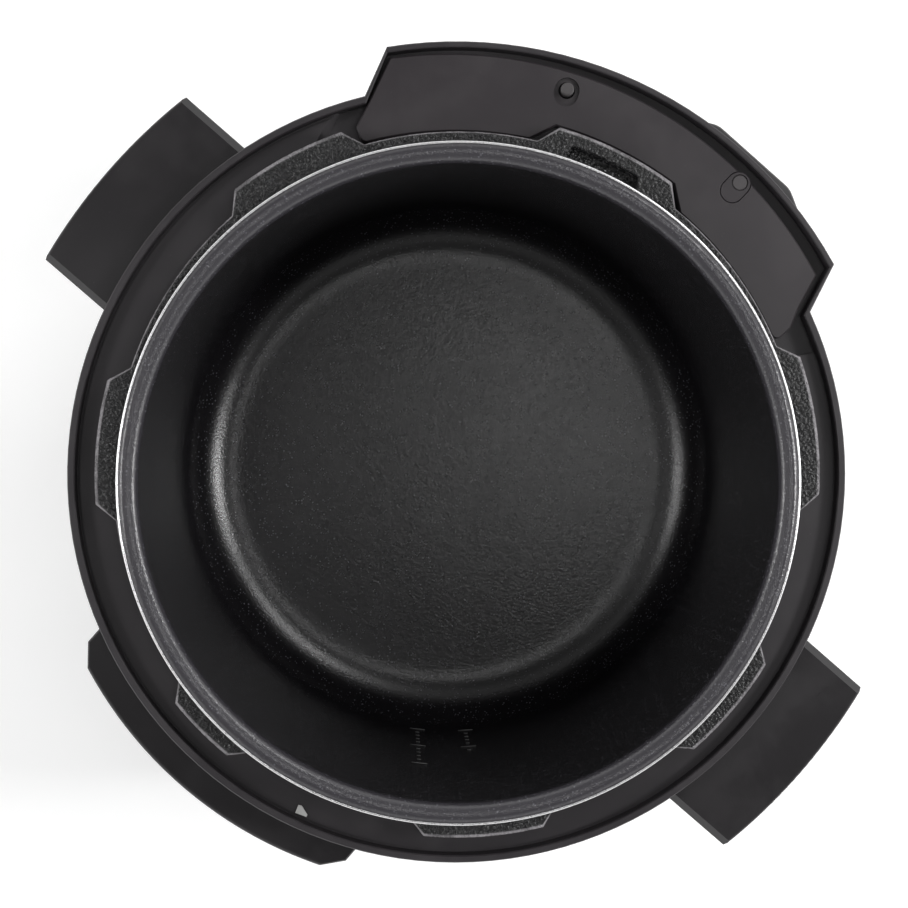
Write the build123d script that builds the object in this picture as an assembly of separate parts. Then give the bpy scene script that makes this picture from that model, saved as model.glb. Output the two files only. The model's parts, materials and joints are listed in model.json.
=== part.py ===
from build123d import *
from math import cos, degrees, hypot, radians, sin, sqrt
import os

# Base of an electric pressure cooker with its lid off, millimetres.
# +Z is up, the origin is on the housing's axis at the table, the control panel faces -Y,
# the grips lie along X and the condensate cup hangs at +Y. Angles are from +X, anticlockwise.

# Levels
foot_z = 5.0
base_top_z = 44.0
liner_floor_z = 47.0
pot_floor_z = 64.0
ring_bottom_z = 190.0
shell_top_z = 198.0
recess_z = 201.0
track_z = 203.5
deck_z = 207.0
lip_z = 208.0
lug_bottom_z = 208.6
flange_top_z = 214.0
pot_top_z = 218.0

# Inner pot, which stands a little off the housing's axis
pot_shift = (1.7, -1.75)
pot_wall = 1.8
pot_floor = 2.6
pot_mouth_r = 112.0
pot_foot_r = 111.0
pot_corner_r = 21.0
pot_rim_r = 120.0
pot_rest_gap = 0.3

# Liner and locking flange
liner_r = 117.6
liner_wall = 1.0
flange_r = 121.3
flange_hub_r = 119.5
flange_foot_r = 128.0
flange_foot_z = 197.0
lug_r = 127.8
lug_slant = 4.0
lugs = [(38.4, 60.6), (95.4, 115.1), (150.0, 169.0), (205.4, 225.1), (259.4, 271.0), (305.3, 324.5),
        (351.8, 369.6)]
slot_lug = (100.4, 112.4)
slot_outer_r = 122.8
flange_screw_angles = [20, 80, 132, 188, 240, 290, 340]
flange_screw_r = 124.0

# Top ring, hood and deck
ring_hole_r = 120.0
ring_r = 138.4
lip_width = 2.6
groove_width = 1.1
hood_r = 153.7
hood_lip = 2.0
hood_side_wall = 1.4
hood_base_r = 136.5
hood_tips = (70.6, 140.6)
hood_slant = 5.0
hood_wall = 2.5
recess_ends = (60.2, 149.1)
recess_inner_ends = (61.5, 160.0)
lip_chamfer = 0.4
deck_gap = 1.1
lug_gap = 1.3
deck_chamfer = 0.5

# Lid-sensing pins: distance from the axis and angle
closed_pin = (144.7, 87.4)
open_pin = (142.2, 115.5)
closed_pin_r = 2.85
open_pin_r = 2.35
open_pin_rise = 2.0
pin_fit = 0.06
pin_collar_r = 4.2
guide_half = 4.4
guide_length = 4.0
guide_end = 0.6
guide_gap = 0.2
pocket_length = 1.4
pocket_depth = 1.2
pocket_hole_gap = 0.6
pin_stem_r = 1.5
pin_shelf_z = 190.5
switch_box_z = 177.0

# Shell and base
shell_r = 133.0
shell_wall = 0.8
base_r = 134.4
tray_wall = 3.0
skirt_gap = 0.2
foot_places = [(r * 68, s * 68) for r in (1, -1) for s in (1, -1)]

# Grips
grip_half_width = 38.1
grip_tip = 164.9
grip_tip_arc_r = 205.0
grip_top_z = 203.0
grip_bottom_z = 176.0
grip_wall = 4.0
grip_bevel = 2.6

# Control housing: the front line leans out from its top edge
panel_top_r = 151.0
panel_belly_r = 163.7
panel_top_z = 196.0
panel_belly_z = 92.0
panel_foot_z = 14.0
panel_plan = [(61.5, 124), (61.5, 133), (54.5, 141.5), (52.5, 158), (52.5, 170)]
panel_edge = 0.6
panel_wall = 3.0
panel_front_wall = 4.0
fascia_depth = 2.2
fascia_half = 44.0
fascia_z = (98.0, 187.0)
fascia_ledge = 3.0
window_size = (46.0, 27.0)
window_z = 161.0
board_y = -134.0
board_thickness = 1.6
switch_height = 3.4

# Buttons: name, x, z; all travel along +Y
button_size = (14.0, 9.0)
button_corner = 3.5
button_gap = 0.35
button_proud = 0.9
button_travel = 0.8
buttons = [("left_upper", -32, 171), ("left_middle", -32, 153), ("left_lower", -32, 135),
           ("right_upper", 32, 171), ("right_middle", 32, 153), ("right_lower", 32, 135),
           ("cancel", -15, 116), ("start", 15, 116)]

# Condensate cup and its bracket
cup_z = (131.0, 171.0)
cup_x = 7.0
cup_back_y = 137.6
cup_front_y = 163.4
cup_shoulder = (27.5, 158.5)
cup_half_back = 31.0
cup_half_front = 18.0
cup_wall = 1.8
cup_ledge = (5.0, 2.0)
cup_floor_z = 146.0
tongue_half = 12.0
tongue_z = (135.5, 141.5)
tongue_end_y = 152.0
cup_gap = 0.3

# Power inlet, at the back of the base
inlet_z = 26.0
inlet_face_y = 136.0
inlet_size = (27.0, 19.0)
inlet_plate = (46.0, 25.0)
inlet_depth = 22.0
inlet_pocket = (23.0, 15.5, 17.0)

# Heater and sensor
plate_r = 90.0
plate_z = (51.5, pot_floor_z - pot_rest_gap)
plate_hole_r = 17.0
element_r = 62.0
element_wire_r = 4.0
element_z = plate_z[0] + 1.5
sensor_cap_r = 14.0
sensor_stem_r = 6.0
sensor_fit = 0.05
sensor_holder_z = (26.0, 46.0)


def at(r, degrees):
    return (r * cos(radians(degrees)), r * sin(radians(degrees)))


def disc(r, z0, z1, x=0, y=0):
    return Pos(x, y, z0) * Cylinder(r, z1 - z0, align=(Align.CENTER, Align.CENTER, Align.MIN))


def tube(r_in, r_out, z0, z1, x=0, y=0):
    return disc(r_out, z0, z1, x, y) - disc(r_in, z0 - 1, z1 + 1, x, y)


def block(x, y, z):
    low = Align.MIN
    return Pos(x[0], y[0], z[0]) * Box(x[1] - x[0], y[1] - y[0], z[1] - z[0], align=(low, low, low))


def outline(points, radii=0):
    """A flat face from corner points, each rounded by its radius."""
    if not radii:
        return make_face(Polyline(*points, close=True))
    return make_face(FilletPolyline(*points, radius=radii, close=True))


def spin(points, radii=0):
    """A solid of revolution about Z from (radius, height) corners."""
    return revolve(Plane.XZ * outline(points, radii), Axis.Z)


def prism(face, z0, z1):
    return Pos(0, 0, z0) * extrude(face, z1 - z0)


def tooth(base_r, tip_r, a0, a1, slant, swell=0.0):
    """A flat sector whose two sides slope outward towards its base; swell moves every side out."""
    wide = slant + swell
    tip = (tip_r + swell)
    middle = (a0 + a1) / 2
    tip_arc = ThreePointArc(at(tip, a0), at(tip, middle), at(tip, a1))
    base_arc = ThreePointArc(at(base_r, a1 + wide), at(base_r, middle), at(base_r, a0 - wide))
    sides = [Line(at(tip, a1), at(base_r, a1 + wide)), Line(at(base_r, a0 - wide), at(tip, a0))]
    return make_face([tip_arc.edge(), sides[0].edge(), base_arc.edge(), sides[1].edge()])


def bar_between(start, end, half, z):
    """A round-ended flat slot between two plan points."""
    hull = make_hull((Pos(*start) * Circle(half)).edges() + (Pos(*end) * Circle(half)).edges())
    return prism(hull, *z)


def coil(r, wire_r, z0, z1, turns, x=0, y=0):
    """A wire spring whose outer height runs from z0 to z1."""
    length = z1 - z0 - 2 * wire_r
    path = Helix(length / turns, length, r)
    section = Plane(origin=path @ 0, z_dir=path % 0) * Circle(wire_r)
    return Pos(x, y, z0 + wire_r) * sweep(section, path, is_frenet=True)


def screw(head_r, head, shank_r, length, cross=True):
    """A pan-head screw along +Z, its head's underside at z = 0; without its cross it is the hole's shape."""
    body = disc(head_r, -head, 0) + disc(shank_r, 0, length)
    if not cross:
        return body
    body = chamfer(body.faces().sort_by(Axis.Z)[0].edges(), head * 0.3)
    recess = Box(head_r, 0.9, head) + Box(0.9, head_r, head)
    return body - Pos(0, 0, -head) * recess


def wire(points, radii, r):
    """A round wire of straight runs joined by arcs."""
    path = FilletPolyline(*points, radius=radii)
    section = Plane(origin=path @ 0, z_dir=path % 0) * Circle(r)
    return sweep(section, path)


# ---------------------------------------------------------------- pot, liner and flange
def make_inner_pot():
    outer_foot = pot_foot_r + pot_wall
    outer_mouth = pot_mouth_r + pot_wall
    inner_floor = pot_floor_z + pot_floor
    rim_under = pot_top_z - pot_wall
    points = [(0, pot_floor_z), (outer_foot, pot_floor_z), (outer_mouth, rim_under), (pot_rim_r, rim_under),
              (pot_rim_r, pot_top_z), (pot_mouth_r + 0.6, pot_top_z), (pot_foot_r, inner_floor),
              (0, inner_floor)]
    radii = [0, pot_corner_r + pot_wall, 1.2, 0.5, 0.8, 2.6, pot_corner_r, 0]
    return Pos(*pot_shift, 0) * spin(points, radii)


def make_liner():
    top = flange_foot_z
    points = [(24, liner_floor_z), (liner_r + liner_wall, liner_floor_z), (liner_r + liner_wall, top),
              (liner_r, top), (liner_r, liner_floor_z + liner_wall), (24, liner_floor_z + liner_wall)]
    body = spin(points, [0, 10, 0, 0, 9, 0])
    for end in element_ends():
        body -= disc(6.5, 40, 60, *end)
    return body


def make_locking_flange():
    body = tube(liner_r, flange_hub_r, flange_foot_z, lug_bottom_z)
    body += tube(liner_r, flange_foot_r, flange_foot_z, flange_foot_z + 2.5)
    plate = Circle(flange_r)
    for a0, a1 in lugs:
        plate += tooth(flange_r - 2, lug_r, a0, a1, lug_slant)
    plate = prism(plate, lug_bottom_z, flange_top_z)
    plate = chamfer(plate.faces().sort_by(Axis.Z)[-1].edges(), 0.7)
    body += plate - disc(liner_r, 200, 220)
    a0, a1 = slot_lug
    slot = prism(tooth(liner_r - 1, slot_outer_r, a0, a1, 1.0), lug_bottom_z + 1.2, flange_top_z + 1)
    return body - slot - group(flange_screws(cross=False))


def flange_screws(cross=True):
    """Screws up through the flange's foot into the top ring."""
    one = screw(3.2, 2.2, 1.6, 3.6, cross)
    return [Pos(*at(flange_screw_r, a), flange_foot_z) * one for a in flange_screw_angles]


# ---------------------------------------------------------------- top ring, hood and deck
def hood_face(swell=0.0, base_r=hood_base_r):
    return tooth(base_r, hood_r, *hood_tips, hood_slant, swell)


def recess_corners():
    """The sunken floor's corners, right side first, each from the axis outwards."""
    lip_r = ring_r - lip_width
    far_r = hood_r - hood_lip
    side = degrees(hood_side_wall / far_r)
    right = [at(ring_hole_r - 3, recess_inner_ends[0]), at(lip_r, recess_ends[0]),
             at(lip_r, hood_tips[0] - hood_slant + side), at(far_r, hood_tips[0] - 0.6 + side)]
    left = [at(ring_hole_r - 3, recess_inner_ends[1]), at(lip_r, recess_ends[1]),
            at(lip_r, hood_tips[1] + hood_slant - side), at(far_r, hood_tips[1] + 0.6 - side)]
    return right, left


def recess_face():
    """The sunken floor that surrounds the deck plate."""
    right, left = recess_corners()
    middle = sum(hood_tips) / 2
    far = ThreePointArc(right[-1], at(hood_r - hood_lip, middle), left[-1])
    near = ThreePointArc(left[0], at(ring_hole_r - 3, middle), right[0])
    sides = Polyline(*right).edges() + Polyline(*left).edges()
    return make_face(far.edges() + near.edges() + sides)


def recess_ramp():
    """The sloping end of the lid's track beside the recess."""
    _, left = recess_corners()
    start = Vector(*left[1], recess_z)
    along = Vector(*left[0], recess_z) - start
    plane = Plane(origin=start, x_dir=along.cross(Vector(0, 0, 1)), z_dir=along)
    rise = track_z - recess_z + 0.5
    return extrude(plane * outline([(0, 0), (rise, -rise), (0, -rise)]), along.length)


def make_top_ring():
    skirt_in = shell_r + skirt_gap
    lip_r = ring_r - lip_width
    body = tube(skirt_in, ring_r, ring_bottom_z, lip_z)
    body += tube(ring_hole_r, ring_r, recess_z - 1.5, track_z)
    body += prism(hood_face(), recess_z - 6, lip_z)
    body -= prism(recess_face(), recess_z, lip_z + 1)
    body -= tube(ring_hole_r - 2, lip_r, track_z, lip_z + 1)
    body = chamfer(body.faces().sort_by(Axis.Z)[-1].edges(), lip_chamfer)
    body -= recess_ramp()
    body -= tube(lip_r - groove_width, lip_r, track_z - 1.0, track_z + 1)
    body -= disc(ring_hole_r, 180, 220)
    body = body - prism(hood_face(0, 100) & Circle(hood_r - hood_wall), 180, recess_z - 1.5)
    body += tube(skirt_in, ring_r, ring_bottom_z, recess_z)
    body -= group(flange_screws(cross=False))
    for place, r in ((closed_pin, closed_pin_r), (open_pin, open_pin_r)):
        body -= disc(r + pin_fit, 180, 220, *at(*place))
        body -= disc(pin_collar_r + 0.4, 180, recess_z - 1.5, *at(*place))
    return body - make_alignment_mark()


def deck_face():
    """The deck plate's outline: it hugs the flange, with a notch round one lug."""
    near = flange_r + deck_gap
    around = lug_r + lug_gap
    a0, a1 = lugs[1]
    notch = [(near, a1 + 4.3), (around, a1 + 0.6), (around, a0 - 0.6), (near, a0 - 4.3)]
    left = [at(near + 0.4, 147.3), at(129.0, 147.4), at(137.9, 144.0), at(149.9, 140.4)]
    right = [at(146.5, 70.5), at(135.5, 67.5), at(129.9, 65.2), at(near, 64.0)]
    edges = [
        ThreePointArc(at(*notch[1]), at(around, (a0 + a1) / 2), at(*notch[2])),
        Line(at(*notch[0]), at(*notch[1])),
        Line(at(*notch[2]), at(*notch[3])),
        ThreePointArc(left[0], at(near, 132), at(*notch[0])),
        ThreePointArc(at(*notch[3]), at(near, 78), right[3]),
        ThreePointArc(left[3], at(148.2, 106), right[0]),
        Polyline(*left),
        Polyline(*right),
    ]
    face = make_face([edge for line in edges for edge in line.edges()])
    inner_corners = [v for v in face.vertices() if hypot(v.X, v.Y) < near + 1 and abs(v.X + 25) > 75]
    return fillet(inner_corners, 2.4)


def make_deck_plate():
    plate = prism(deck_face(), recess_z, deck_z)
    plate = chamfer(plate.faces().sort_by(Axis.Z)[-1].edges(), deck_chamfer)
    plate -= guide_bar(guide_half, 170, 220)
    r, angle = open_pin
    ends = [at(r - pocket_length / 2 + t * pocket_length / 2, angle) for t in (-1, 1)]
    plate -= bar_between(*ends, guide_half, (deck_z - pocket_depth, deck_z + 1))
    return plate - disc(open_pin_r + pocket_hole_gap, 180, 220, *at(r, angle))


def guide_bar(half, z0, z1):
    """The round-ended slot that runs inwards from the closed pin; its outer end breaks the deck's edge."""
    r, angle = closed_pin
    return bar_between(at(r - guide_length, angle), at(r - guide_end, angle), half, (z0, z1))


def make_pin_guide():
    guide = guide_bar(guide_half - guide_gap, recess_z, deck_z - 0.05)
    guide = chamfer(guide.faces().sort_by(Axis.Z)[-1].edges(), guide_gap)
    return guide - disc(closed_pin_r + pin_fit, 180, 220, *at(*closed_pin))


def make_alignment_mark():
    """A small raised wedge on the track, beside the groove, that shows the lid's closing place."""
    points = [(2.1, 0), (-2.1, -0.3), (-2.2, -1.1), (1.1, -3.3), (2.3, -3.1)]
    wedge = prism(outline(points), track_z - 0.8, track_z + 0.5)
    angle = 286.0
    return Pos(*at(134.3, angle), 0) * Rot(0, 0, angle - 90) * wedge


def make_switch_box():
    """The cover under the hood that holds both lid switches."""
    outer = tooth(134, hood_r - hood_wall - 0.2, 73.5, 136.5, 4.0)
    inner = tooth(132, hood_r - hood_wall - 2.2, 75.0, 135.0, 3.0)
    box = prism(outer, switch_box_z, recess_z - 1.5) - prism(inner, switch_box_z + 2, recess_z)
    box -= disc(ring_r + skirt_gap, 170, 220)
    for place in (closed_pin, open_pin):
        spot = Pos(*at(*place)) * Rot(0, 0, place[1])
        shelf = prism(spot * Rectangle(13, 18), pin_shelf_z - 2, pin_shelf_z)
        legs = prism(spot * (Rectangle(13, 18) - Rectangle(15, 14)), switch_box_z + 2, pin_shelf_z - 2)
        fitted = (shelf + legs) & prism(inner, 170, 220)
        box += fitted - disc(ring_r + skirt_gap, 170, 220)
        box -= disc(pin_stem_r + pin_fit, pin_shelf_z - 3, pin_shelf_z + 1, *at(*place))
    return box


def make_lid_pin(place, r, top):
    x, y = at(*place)
    collar_z = recess_z - 1.5 - 0.3
    pin = disc(r, collar_z, top, x, y)
    pin = chamfer(pin.faces().sort_by(Axis.Z)[-1].edges(), 0.5)
    pin += disc(pin_collar_r, collar_z - 1.6, collar_z, x, y)
    return pin + disc(pin_stem_r, pin_shelf_z - 3, collar_z - 1.6, x, y)


def make_pin_spring(place):
    collar_under = recess_z - 1.5 - 0.3 - 1.6
    return coil(2.8, 0.3, pin_shelf_z, collar_under, 3.5, *at(*place))


def make_lid_switches():
    """Two microswitches that stand under the pins' stems."""
    found = []
    for place in (closed_pin, open_pin):
        case = Box(5.6, 10, 4.2, align=(Align.CENTER, Align.CENTER, Align.MIN))
        found.append(Pos(*at(*place), switch_box_z + 2) * Rot(0, 0, place[1]) * case)
    return found


# ---------------------------------------------------------------- shell, base and feet
def make_outer_shell():
    body = tube(shell_r - shell_wall, shell_r, base_top_z, shell_top_z)
    body -= block((-26, 26), (-140, -120), (104, 150))
    return body - group(grip_screws(cross=False)) - group(bracket_screws(cross=False))


def make_base_tray():
    spigot_r = shell_r - shell_wall
    points = [(0, foot_z), (base_r, foot_z), (base_r, base_top_z), (spigot_r, base_top_z),
              (spigot_r, base_top_z + 8), (spigot_r - tray_wall, base_top_z + 8),
              (spigot_r - tray_wall, foot_z + tray_wall), (0, foot_z + tray_wall)]
    body = spin(points, [0, 4, 0.6, 0, 0.5, 0, 2, 0])
    half = inlet_plate[0] / 2 + 2
    pad = block((-half, half), (122, inlet_face_y - 1.5), (foot_z + 4, base_top_z - 3))
    body += pad - block((-half + 3, half - 3), (120, 132.5), (foot_z + 3, base_top_z))
    body -= make_inlet_blank()
    for x, y in foot_places:
        body -= disc(4, 0, 20, x, y)
    for angle in range(0, 360, 15):
        slot = Rot(0, 0, angle) * Pos(42, 0, foot_z) * Box(22, 3, 12)
        body -= slot
        if angle % 30:
            body -= Rot(0, 0, angle) * Pos(70, 0, foot_z) * Box(16, 3, 12)
    for x, y in board_posts():
        body += disc(3.2, foot_z + 2, 18, x, y)
    for x, y in base_screw_places():
        body += disc(4.4, foot_z + 2, 30, x, y)
    return body - group(base_screws(cross=False)) - group(inlet_screws(cross=False))


def make_rubber_feet():
    found = []
    for x, y in foot_places:
        pad = chamfer(disc(10, 0, foot_z, x, y).faces().sort_by(Axis.Z)[0].edges(), 1.0)
        found.append(pad + disc(4, foot_z, foot_z + 6, x, y))
    return found


def base_screw_places():
    return [at(118, a) for a in (30, 150, 210, 330)]


def base_screws(cross=True):
    one = screw(3.6, 2.4, 1.8, 14, cross)
    return [Pos(x, y, foot_z + 2.4) * one for x, y in base_screw_places()]


# ---------------------------------------------------------------- grips
def grip_screws(cross=True):
    """Two screws a side, from inside the shell into each grip."""
    one = Rot(0, 90, 0) * screw(3.8, 2.4, 1.9, 14, cross)
    found = [Pos(129.6, y, 183) * one for y in (-20, 20)]
    return found + [Rot(0, 0, 180) * each for each in found]


def make_grip():
    """The right-hand grip: a hooded stub with room for fingers below."""
    corner_x = grip_tip - grip_tip_arc_r + sqrt(grip_tip_arc_r ** 2 - grip_half_width ** 2)
    tip = ThreePointArc((corner_x, -grip_half_width), (grip_tip, 0), (corner_x, grip_half_width))
    rest = Polyline((corner_x, grip_half_width), (118, grip_half_width), (118, -grip_half_width),
                    (corner_x, -grip_half_width))
    face = make_face(tip.edges() + rest.edges())
    body = prism(face, grip_bottom_z, grip_top_z)
    top = body.faces().sort_by(Axis.Z)[-1]
    body = chamfer(top.edges().filter_by(Axis.X), grip_bevel)
    body = fillet(body.faces().sort_by(Axis.Z)[-1].edges().sort_by(Axis.X)[-1], 1.2)
    slope = outline([(corner_x - 14, grip_bottom_z - 1), (grip_tip + 2, grip_bottom_z - 1),
                     (grip_tip + 2, grip_bottom_z + 8)])
    body -= Pos(0, 60, 0) * extrude(Plane.XZ * slope, 120)
    half = grip_half_width - grip_wall
    body -= block((146, corner_x - grip_wall), (-half, half), (grip_bottom_z - 1, grip_top_z - grip_wall))
    body -= disc(ring_r + skirt_gap, ring_bottom_z - 0.3, 220)
    body -= disc(shell_r + 0.1, 160, ring_bottom_z)
    return body - group(grip_screws(cross=False))


# ---------------------------------------------------------------- control housing
def front_r(z, depth=0.0):
    """Radius of the housing's leaning front, depth below its skin."""
    slope = (panel_belly_r - panel_top_r) / (panel_top_z - panel_belly_z)
    return panel_top_r + slope * (panel_top_z - z) - depth


def panel_body(inset, front_inset, z_inset):
    z0 = panel_foot_z + z_inset
    z1 = panel_top_z - z_inset
    points = [(110, z0), (146 - front_inset, z0), (158 - front_inset, 36), (panel_belly_r - front_inset, 92),
              (front_r(z1, front_inset), z1), (110, z1)]
    radii = [0, 8, 24, 60, 1.6, 0]
    left = [(inset - x, -y) for x, y in panel_plan]
    right = [(-x, y) for x, y in reversed(left)]
    sides = prism(outline(left + right), 0, z1)
    return spin(points, radii) & chamfer(sides.faces().sort_by(Axis.Z)[-1].edges(), panel_edge)


def front_layer(outer_depth, inner_depth, z0, z1, half):
    """A curved plate that follows the leaning front."""
    points = [(front_r(z0, inner_depth), z0), (front_r(z0, outer_depth), z0), (front_r(z1, outer_depth), z1),
              (front_r(z1, inner_depth), z1)]
    plan = outline([(-half, -100), (half, -100), (half, -180), (-half, -180)])
    return spin(points) & prism(plan, z0 - 5, z1 + 5)


def make_panel_housing():
    body = panel_body(0, 0, 0) - panel_body(panel_wall, panel_front_wall, panel_wall)
    z0, z1 = fascia_z
    body -= front_layer(-5, fascia_depth, z0, z1, fascia_half)
    ledge = fascia_ledge
    body -= front_layer(-5, 12, z0 + ledge, z1 - ledge, fascia_half - ledge)
    for side in (-1, 1):
        rib = block((40, 54), (-138.5, board_y - board_thickness), (z0 + 4, z1 - 5))
        body += rib if side > 0 else mirror(rib, Plane.YZ)
    body -= disc(ring_r + skirt_gap, ring_bottom_z - 0.3, 220)
    body -= disc(shell_r + 0.1, base_top_z, ring_bottom_z)
    return body - disc(base_r + 0.1, 0, base_top_z + 0.2)


def button_prism(x, z, grow):
    w, h = button_size
    shape = RectangleRounded(w + 2 * grow, h + 2 * grow, button_corner + grow)
    return Pos(x, -120, z) * extrude(Plane.XZ * shape, 50)


def make_fascia():
    z0, z1 = fascia_z
    body = front_layer(0, fascia_depth, z0, z1, fascia_half)
    body -= window_prism()
    for _, x, z in buttons:
        body -= button_prism(x, z, button_gap)
    return body


def window_prism():
    return Pos(0, -120, window_z) * extrude(Plane.XZ * RectangleRounded(*window_size, 3), 50)


def make_display_window():
    return front_layer(0, fascia_depth, *fascia_z, fascia_half) & window_prism()


def make_display_module():
    w, h = window_size
    return block((-w / 2 + 3, w / 2 - 3), (-148.6, board_y - board_thickness),
                 (window_z - h / 2 + 2, window_z + h / 2 - 2))


def make_button(x, z):
    """A cap flush with the fascia's curve, a retaining flange behind it and a stem to its switch."""
    w, h = button_size
    z0, z1 = fascia_z
    cap = button_prism(x, z, 0) & front_layer(-button_proud, 30, z0, z1, fascia_half)
    far_x = abs(x) + w / 2 + 1.5
    far_r = front_r(z + h / 2 + 1.5, fascia_depth)
    flange_y = -sqrt(far_r ** 2 - far_x ** 2) + 0.4
    cap -= block((x - w, x + w), (flange_y + 1.2, -100), (z - h, z + h))
    flange = block((x - w / 2 - 1.5, x + w / 2 + 1.5), (flange_y, flange_y + 1.2),
                   (z - h / 2 - 1.5, z + h / 2 + 1.5))
    stem_end = board_y - board_thickness - switch_height - button_travel - 0.4
    stem = Pos(x, stem_end, z) * extrude(Plane.XZ * Circle(2), stem_end - flange_y)
    return cap + flange + stem


def make_control_board():
    z0, z1 = fascia_z
    return block((-46, 46), (board_y - board_thickness, board_y), (z0 + 4, z1 - 5))


def make_button_switches():
    front = board_y - board_thickness
    return [block((x - 3, x + 3), (front - switch_height, front), (z - 3, z + 3)) for _, x, z in buttons]


def make_ribbon_cable():
    """A flat cable from the control board, in through the shell and down to the power board."""
    across = (-8, 8)
    thick = 0.9
    drop_y = -127
    low_z = 21
    run = block(across, (board_y, drop_y + thick), (118, 118 + thick))
    run += block(across, (drop_y, drop_y + thick), (low_z, 118 + thick))
    return run + block(across, (drop_y, -110), (low_z, low_z + thick))


# ---------------------------------------------------------------- heater and sensor
def element_ends():
    return [at(element_r, a) for a in (-12, 12)]


def make_heating_element():
    section = Plane.XZ * Pos(element_r, element_z) * Circle(element_wire_r)
    ring = Rot(0, 0, 12) * revolve(section, Axis.Z, 336)
    for x, y in element_ends():
        ring += disc(3.2, 36, element_z, x, y)
    return ring


def make_heating_plate():
    body = tube(plate_hole_r, plate_r, *plate_z)
    body = fillet(body.edges().filter_by(GeomType.CIRCLE).group_by(Axis.Z)[-1].sort_by(SortBy.LENGTH)[-1], 3)
    for angle in (90, 210, 330):
        body += disc(5, liner_floor_z + liner_wall, plate_z[0] + 1, *at(76, angle))
    return body - make_heating_element()


def make_sensor_cap():
    top = plate_z[1] - 0.1
    cap = disc(sensor_cap_r, top - 12, top) - disc(sensor_cap_r - 1.6, top - 13, top - 2)
    cap = fillet(cap.faces().sort_by(Axis.Z)[-1].edges(), 1.5)
    return cap + disc(sensor_stem_r, sensor_holder_z[0] + 4, top - 2)


def make_sensor_holder():
    z0, z1 = sensor_holder_z
    body = disc(20, z1 - 2.5, z1) + disc(9, z0, z1)
    body += tube(20, 24.6, z1 - 2.5, liner_floor_z)
    return body - disc(sensor_stem_r + sensor_fit, z0 - 1, z1 + 1)


def make_sensor_spring():
    return coil(9.2, 0.7, sensor_holder_z[1], plate_z[1] - 2.1, 4.5)


def make_spring_plate():
    """The elastic plate under the liner that bows as pressure builds."""
    return tube(26, 52, liner_floor_z - 1.8, liner_floor_z)


def make_pressure_switch():
    body = block((-44, -28), (-6, 6), (30, 44)) + disc(3, 44, liner_floor_z - 1.8, -36, 0)
    return body + block((-47, -28), (-4, 4), (26, 30))


def make_thermal_fuse():
    clip = block((30, 48), (20, 28), (liner_floor_z - 3.0, liner_floor_z - 1.8))
    return clip + Pos(39, 24, liner_floor_z - 5.4) * Rot(0, 90, 0) * Cylinder(2.6, 22)


# ---------------------------------------------------------------- power board, inlet and wires
def board_posts():
    return [(x, y) for x in (-38, 38) for y in (-102, -62)]


def make_power_board():
    return block((-44, 44), (-108, -56), (18, 19.6))


def make_board_parts():
    """Relay, capacitor, transformer, fuse holder and connector on the power board."""
    low = 19.6
    return [block((-36, -16), (-84, -68), (low, low + 15)), disc(6, low, low + 18, 8, -68),
            block((16, 36), (-82, -62), (low, low + 17)), block((14, 34), (-100, -92), (low, low + 8)),
            block((-38, -26), (-102, -92), (low, low + 9))]


def make_inlet_blank():
    w, h = inlet_size
    plate = Pos(0, inlet_face_y - 1.5, inlet_z) * Box(inlet_plate[0], 3.0, inlet_plate[1])
    return plate + Pos(0, inlet_face_y - inlet_depth / 2, inlet_z) * Box(w, inlet_depth, h)


def make_power_inlet():
    w, h, deep = inlet_pocket
    body = make_inlet_blank()
    body -= Pos(0, inlet_face_y - deep / 2 + 0.5, inlet_z) * Box(w, deep + 1, h)
    return body - group(inlet_pins()) - group(inlet_screws(cross=False))


def inlet_pins():
    """Two flat contacts and the earth between them, set back from the mouth."""
    tip = inlet_face_y - 5.5
    back = inlet_face_y - inlet_depth - 5
    return [block((x - 2, x + 2), (back, tip), (inlet_z + z - 1, inlet_z + z + 1))
            for x, z in ((-7, -2), (7, -2), (0, 2))]


def inlet_screws(cross=True):
    one = Rot(90, 0, 0) * screw(2.8, 1.6, 1.4, 9, cross)
    return [Pos(x, inlet_face_y - 0.1, inlet_z) * one for x in (-18, 18)]


def make_mains_wires():
    """Live and neutral from the inlet past the switch to the power board."""
    start = inlet_face_y - inlet_depth - 5
    found = []
    for side in (-1, 1):
        x = 7 * side
        points = [(x, start, inlet_z - 2), (x, start - 14, inlet_z - 2), (side * 62, 70, 14), (side * 66, 0, 14),
                  (side * 60, -70, 14), (side * 49, -84, 14)]
        found.append(wire(points, [6, 22, 40, 9], 1.5))
    return found


# ---------------------------------------------------------------- condensate cup
def cup_plan(inset=0.0, front_inset=0.0):
    back = cup_half_back - inset
    shoulder_x = cup_shoulder[0] - inset
    shoulder_y = cup_shoulder[1] - inset * 0.5 - front_inset
    front = cup_half_front - inset * 0.5
    front_y = cup_front_y - inset - front_inset
    points = [(-back, cup_back_y + inset), (-shoulder_x, shoulder_y), (-front, front_y), (front, front_y),
              (shoulder_x, shoulder_y), (back, cup_back_y + inset)]
    return Pos(cup_x, 0) * outline(points, [2, 5, 9, 9, 5, 2])


def make_condensate_cup():
    """An open cup with an inward ledge along its front to pull it by; it hangs on the bracket's tongue."""
    z0, z1 = cup_z
    ledge_width, ledge_height = cup_ledge
    body = prism(cup_plan(), z0, z1)
    body = chamfer(body.faces().sort_by(Axis.Z)[0].edges(), 1.2)
    body = chamfer(body.faces().sort_by(Axis.Z)[-1].edges(), 0.6)
    body -= prism(cup_plan(cup_wall), cup_floor_z, z1 - ledge_height)
    body -= prism(cup_plan(cup_wall, ledge_width - cup_wall), cup_floor_z, z1 + 1)
    hole = tongue_half + cup_gap
    return body - block((cup_x - hole, cup_x + hole), (130, tongue_end_y + cup_gap),
                        (tongue_z[0] - cup_gap, tongue_z[1] + cup_gap))


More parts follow.
